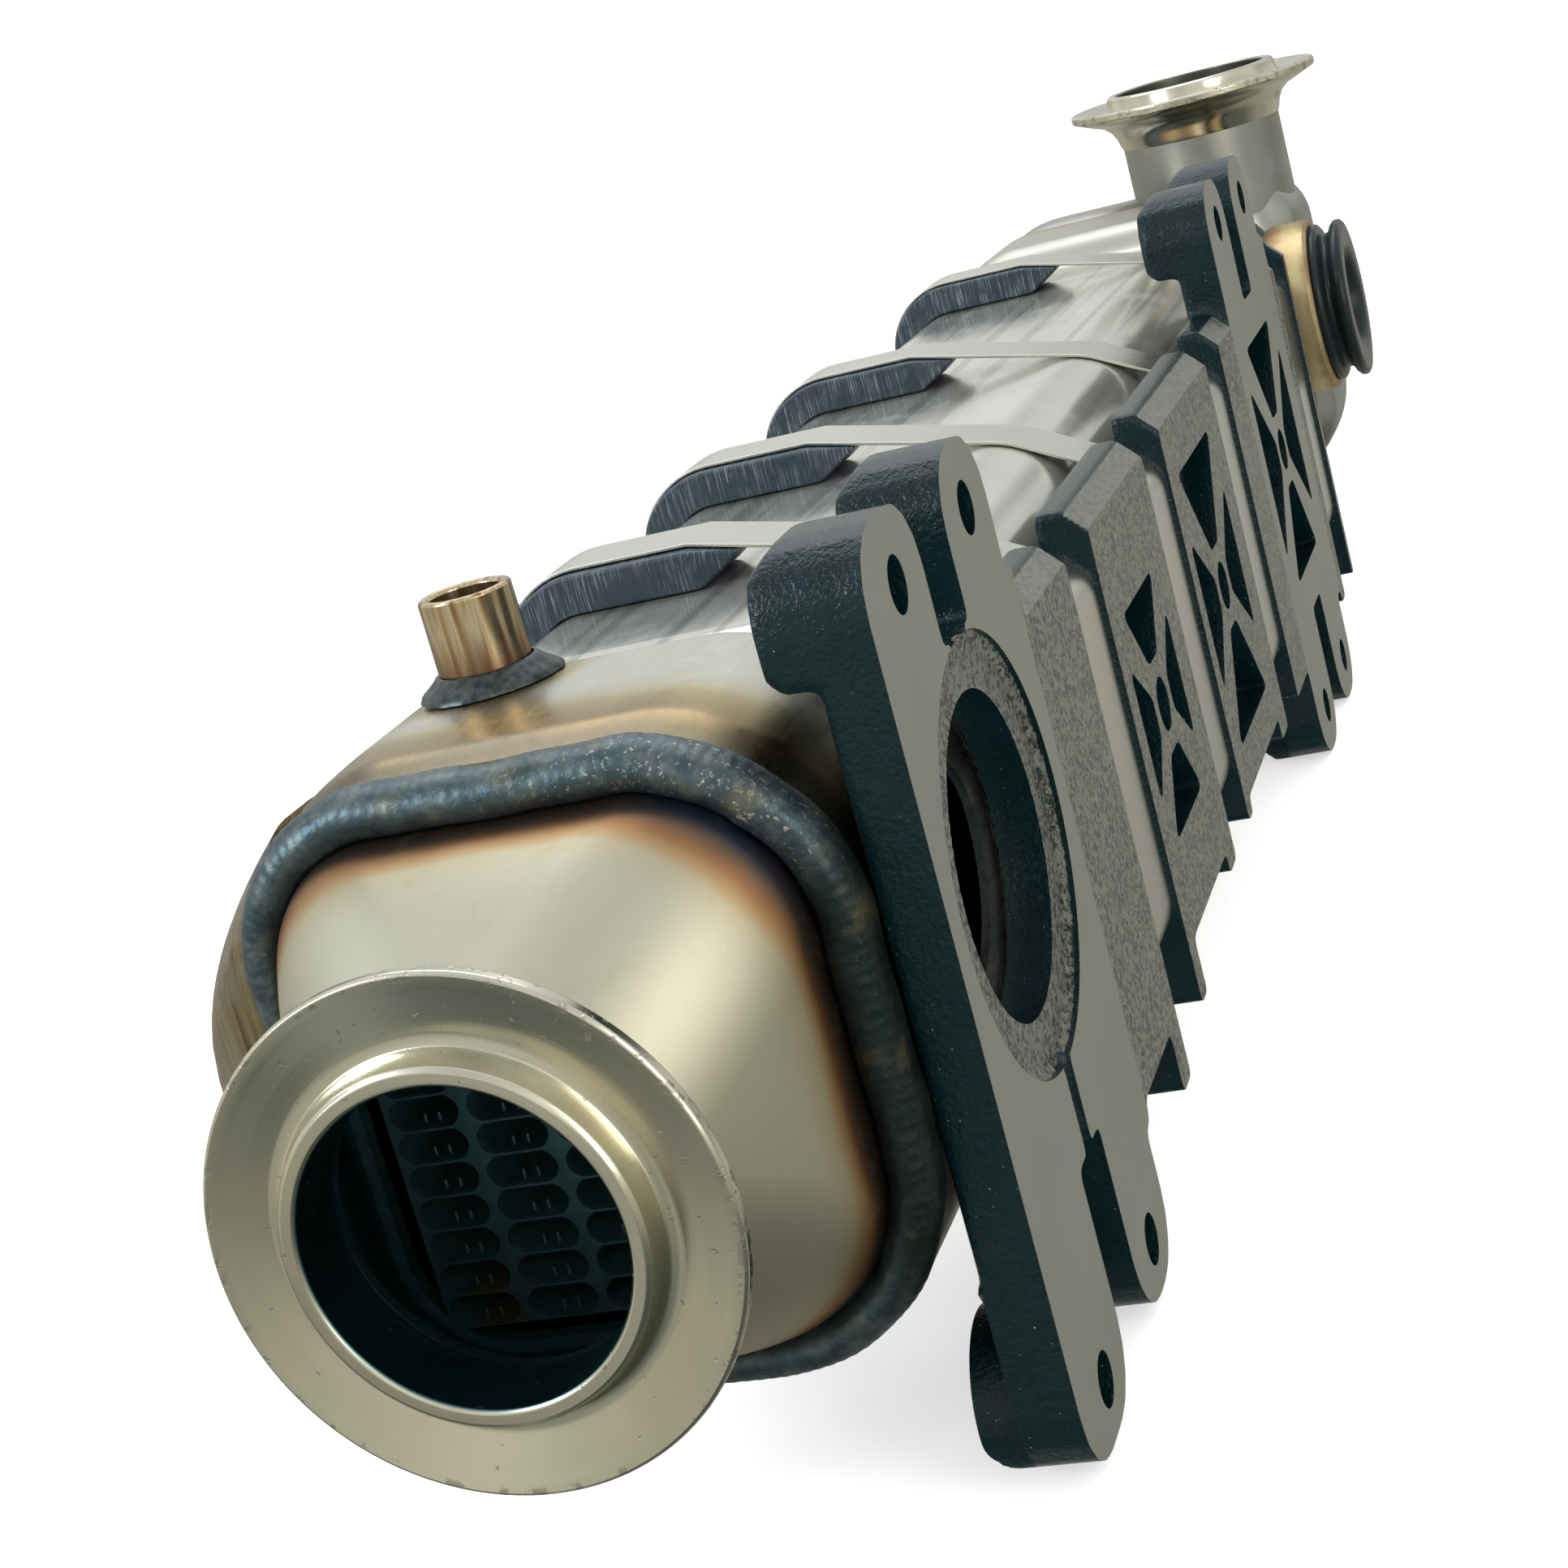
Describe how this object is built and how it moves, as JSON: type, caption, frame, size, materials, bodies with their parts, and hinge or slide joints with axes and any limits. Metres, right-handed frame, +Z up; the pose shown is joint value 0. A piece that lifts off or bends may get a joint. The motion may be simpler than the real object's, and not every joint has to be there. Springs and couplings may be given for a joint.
{
  "type": "exhaust gas recirculation cooler",
  "caption": "Long stainless exhaust gas cooler with a clamp flange at each end, strapped to a cast side bracket that bolts to a heavy diesel engine.",
  "frame": {"origin": "on the machined engine face of the bracket, 20 mm straight under the centre of the upper front bolt hole", "axes": "+X out of the machined face, +Y from the gas inlet to the gas outlet along the cooler, +Z up"},
  "size_m": [0.1948, 0.8923, 0.2196],
  "materials": {
    "machined_steel": "turned, satin to bright",
    "blasted_steel": "blasted matte with heat tint by the welds",
    "weld_bead": "oxidised blue-grey weld",
    "polished_steel": "bright, softly polished",
    "tinted_steel": "gold and brown heat tint",
    "strap_steel": "satin cold-rolled band",
    "core_steel": "dull, brazed",
    "casting_paint": "glossy black paint over rough casting, bare where machined",
    "pad_rubber": "cut hard rubber with pale scratches",
    "seal_rubber": "smooth black"
  },
  "bodies": {
    "root": {"gas_inlet_flange": "machined_steel", "gas_inlet_cone": "blasted_steel", "front_closing_weld": "weld_bead", "front_tube_plate": "core_steel", "gas_tube_01": "core_steel", "gas_tube_02": "core_steel", "gas_tube_03": "core_steel", "gas_tube_04": "core_steel", "gas_tube_05": "core_steel", "gas_tube_06": "core_steel", "gas_tube_07": "core_steel", "gas_tube_08": "core_steel", "gas_tube_09": "core_steel", "gas_tube_10": "core_steel", "gas_tube_11": "core_steel", "gas_tube_12": "core_steel", "gas_tube_13": "core_steel", "baffle_1": "core_steel", "baffle_2": "core_steel", "baffle_3": "core_steel", "rear_tube_plate": "core_steel", "front_coolant_tank": "tinted_steel", "core_shell": "polished_steel", "rear_coolant_tank": "polished_steel", "rear_closing_weld": "weld_bead", "gas_outlet_hood": "blasted_steel", "gas_outlet_tube": "polished_steel", "gas_outlet_flange": "machined_steel", "coolant_blister": "tinted_steel", "vent_nipple": "tinted_steel", "vent_nipple_weld": "weld_bead", "coolant_inlet_cup": "tinted_steel", "coolant_inlet_seal": "seal_rubber", "mounting_bracket": "casting_paint", "strap_pad_1": "pad_rubber", "strap_1": "strap_steel", "strap_pad_2": "pad_rubber", "strap_2": "strap_steel", "strap_pad_3": "pad_rubber", "strap_3": "strap_steel", "strap_pad_4": "pad_rubber", "strap_4": "strap_steel"}
  },
  "joints": []
}
